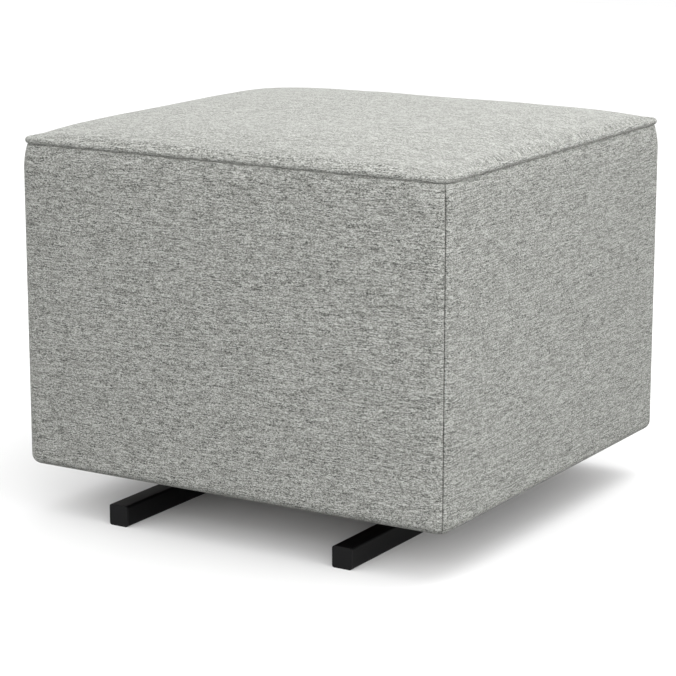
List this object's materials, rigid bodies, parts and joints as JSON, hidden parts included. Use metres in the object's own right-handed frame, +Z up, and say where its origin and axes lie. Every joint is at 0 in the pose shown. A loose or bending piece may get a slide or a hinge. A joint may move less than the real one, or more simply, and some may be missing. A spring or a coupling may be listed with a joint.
{
  "type": "glider ottoman",
  "caption": "Upholstered square ottoman with a crowned piped top that glides on swing links above two floor rails.",
  "frame": {"origin": "on the floor under the middle of the box and of the rails", "axes": "+X to the right along the front face, +Y from the front face to the rear along the rails, +Z up"},
  "size_m": [0.57, 0.543, 0.466],
  "materials": {
    "upholstery_fabric": "matte",
    "wadding": "matte",
    "foam": "matte",
    "dust_cloth": "matte",
    "plywood": "matte",
    "solid_wood": "matte",
    "black_painted_steel": "satin",
    "zinc_plated_steel": "satin",
    "bearing_steel": "polished",
    "black_plastic": "satin",
    "rubber": "matte"
  },
  "bodies": {
    "base": {"left_floor_rail": "black_painted_steel", "right_floor_rail": "black_painted_steel", "rail_end_caps": "black_plastic", "front_left_upright": "black_painted_steel", "front_right_upright": "black_painted_steel", "rear_left_upright": "black_painted_steel", "rear_right_upright": "black_painted_steel", "front_cross_tube": "black_painted_steel", "rear_cross_tube": "black_painted_steel", "upright_bolts": "zinc_plated_steel", "upper_pivot_bolts": "zinc_plated_steel", "upper_pivot_spacers": "zinc_plated_steel", "upper_pivot_nuts": "zinc_plated_steel", "stop_bumpers": "rubber"},
    "front_left_link": {"front_left_link": "black_painted_steel", "front_left_bearings": "bearing_steel"},
    "front_right_link": {"front_right_link": "black_painted_steel", "front_right_bearings": "bearing_steel"},
    "rear_left_link": {"rear_left_link": "black_painted_steel", "rear_left_bearings": "bearing_steel"},
    "rear_right_link": {"rear_right_link": "black_painted_steel", "rear_right_bearings": "bearing_steel"},
    "seat": {"left_seat_angle": "black_painted_steel", "right_seat_angle": "black_painted_steel", "front_left_hanger": "black_painted_steel", "front_right_hanger": "black_painted_steel", "rear_left_hanger": "black_painted_steel", "rear_right_hanger": "black_painted_steel", "hanger_rivets": "zinc_plated_steel", "lower_pivot_bolts": "zinc_plated_steel", "lower_pivot_spacers": "zinc_plated_steel", "lower_pivot_nuts": "zinc_plated_steel", "mounting_bolts": "zinc_plated_steel", "tee_nuts": "zinc_plated_steel", "mechanism_deck": "plywood", "front_panel": "plywood", "rear_panel": "plywood", "left_panel": "plywood", "right_panel": "plywood", "front_left_corner_post": "solid_wood", "front_right_corner_post": "solid_wood", "rear_left_corner_post": "solid_wood", "rear_right_corner_post": "solid_wood", "front_cleat": "solid_wood", "rear_cleat": "solid_wood", "top_board": "plywood", "dust_cover": "dust_cloth", "seat_foam": "foam", "top_wadding": "wadding", "top_cover": "upholstery_fabric", "welt": "upholstery_fabric", "front_padding": "wadding", "rear_padding": "wadding", "left_padding": "wadding", "right_padding": "wadding", "front_cover": "upholstery_fabric", "rear_cover": "upholstery_fabric", "left_cover": "upholstery_fabric", "right_cover": "upholstery_fabric"}
  },
  "joints": [
    {"name": "front_left_link_swing", "type": "hinge", "parent": "base", "child": "front_left_link", "pos_m": [-0.1716, -0.11, 0.18], "axis": [1, 0, 0], "range_deg": [-22, 22]},
    {"name": "front_right_link_swing", "type": "hinge", "parent": "base", "child": "front_right_link", "pos_m": [0.1716, -0.11, 0.18], "axis": [1, 0, 0], "range_deg": [-22, 22]},
    {"name": "rear_left_link_swing", "type": "hinge", "parent": "base", "child": "rear_left_link", "pos_m": [-0.1716, 0.11, 0.18], "axis": [1, 0, 0], "range_deg": [-22, 22]},
    {"name": "rear_right_link_swing", "type": "hinge", "parent": "base", "child": "rear_right_link", "pos_m": [0.1716, 0.11, 0.18], "axis": [1, 0, 0], "range_deg": [-22, 22]},
    {"name": "seat_level", "type": "hinge", "parent": "front_left_link", "child": "seat", "pos_m": [-0.1716, -0.11, 0.08], "axis": [1, 0, 0], "range_deg": [-22, 22]}
  ],
  "couplings": [
    {"joint": "front_right_link_swing", "follows": "front_left_link_swing", "ratio": 1},
    {"joint": "rear_left_link_swing", "follows": "front_left_link_swing", "ratio": 1},
    {"joint": "rear_right_link_swing", "follows": "front_left_link_swing", "ratio": 1},
    {"joint": "seat_level", "follows": "front_left_link_swing", "ratio": -1}
  ]
}
